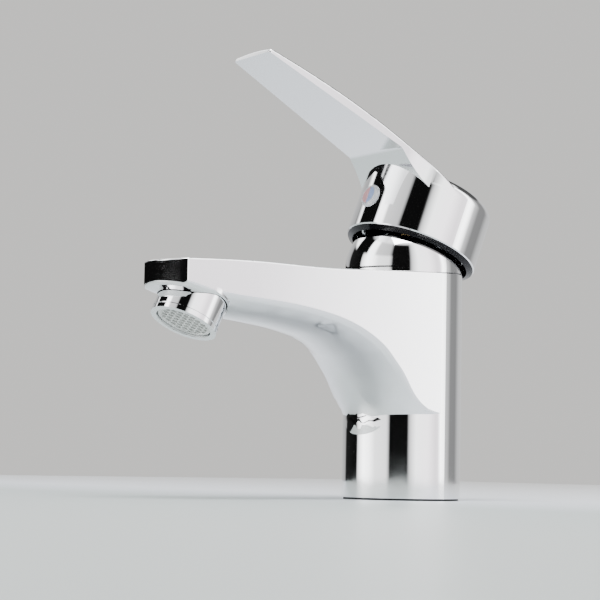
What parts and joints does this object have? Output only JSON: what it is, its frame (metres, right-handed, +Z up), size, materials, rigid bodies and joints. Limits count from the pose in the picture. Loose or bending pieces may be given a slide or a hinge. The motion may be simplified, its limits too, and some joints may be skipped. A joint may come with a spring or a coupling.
{
  "type": "single-lever basin mixer faucet",
  "caption": "Chrome single-lever bathroom basin mixer with fixed spout, tilted aerator, lifting and turning lever, ceramic cartridge and under-deck fixing set.",
  "frame": {"origin": "centre of the column's foot on the deck, on the gasket's underside", "axes": "+Z up along the column and the lever's turning axis, -Y along the spout, +X to the right of a user who faces the spout from behind; the deck is the plane Z = 0"},
  "size_m": [0.0531, 0.1589, 0.2125],
  "materials": {
    "chrome": "polished",
    "brass": "machined",
    "zinc_plated_steel": "zinc plated",
    "stainless_steel": "brushed",
    "black_rubber": "matte",
    "black_plastic": "satin",
    "grey_plastic": "moulded",
    "white_plastic": "moulded",
    "ceramic": "lapped",
    "clear_plastic": "glossy",
    "blue_mark": "glossy",
    "red_mark": "glossy"
  },
  "bodies": {
    "root": {"faucet_body": "chrome", "base_gasket": "black_rubber", "mounting_stud": "zinc_plated_steel", "rubber_horseshoe_washer": "black_rubber", "steel_horseshoe_plate": "zinc_plated_steel", "fixing_nut": "brass", "cartridge_base": "grey_plastic", "inlet_seals": "black_rubber", "disc_seals": "black_rubber", "fixed_ceramic_disc": "ceramic", "cartridge_housing": "grey_plastic", "cartridge_nut": "brass", "neck_o_ring": "black_rubber", "neck_cap": "chrome", "aerator_housing": "chrome", "aerator_washer": "black_rubber", "aerator_insert": "white_plastic", "aerator_screen": "stainless_steel"},
    "swivel": {"cartridge_rotor": "white_plastic", "pivot_pin": "stainless_steel"},
    "lever": {"lever_stem": "brass", "handle": "chrome", "handle_trim_ring": "black_plastic", "handle_set_screw": "stainless_steel", "indicator_button": "clear_plastic", "cold_mark": "blue_mark", "hot_mark": "red_mark"},
    "disc_slide": {"moving_ceramic_disc": "ceramic", "disc_carrier": "white_plastic"}
  },
  "joints": [
    {"name": "temperature_swivel", "type": "hinge", "parent": "root", "child": "swivel", "pos_m": [0, 0, 0.0889], "axis": [0, 0, 1], "range_deg": [-42, 58]},
    {"name": "flow_lift", "type": "hinge", "parent": "swivel", "child": "lever", "pos_m": [0, 0, 0.0889], "axis": [-0.9903, 0.1392, 0], "range_deg": [-21.5, 3.5]},
    {"name": "disc_travel", "type": "slide", "parent": "swivel", "child": "disc_slide", "axis": [-0.1392, -0.9903, 0], "range_m": [-0.005, 0.00085]}
  ],
  "couplings": [
    {"joint": "disc_travel", "follows": "flow_lift", "m_per_rad": 0.01319}
  ]
}
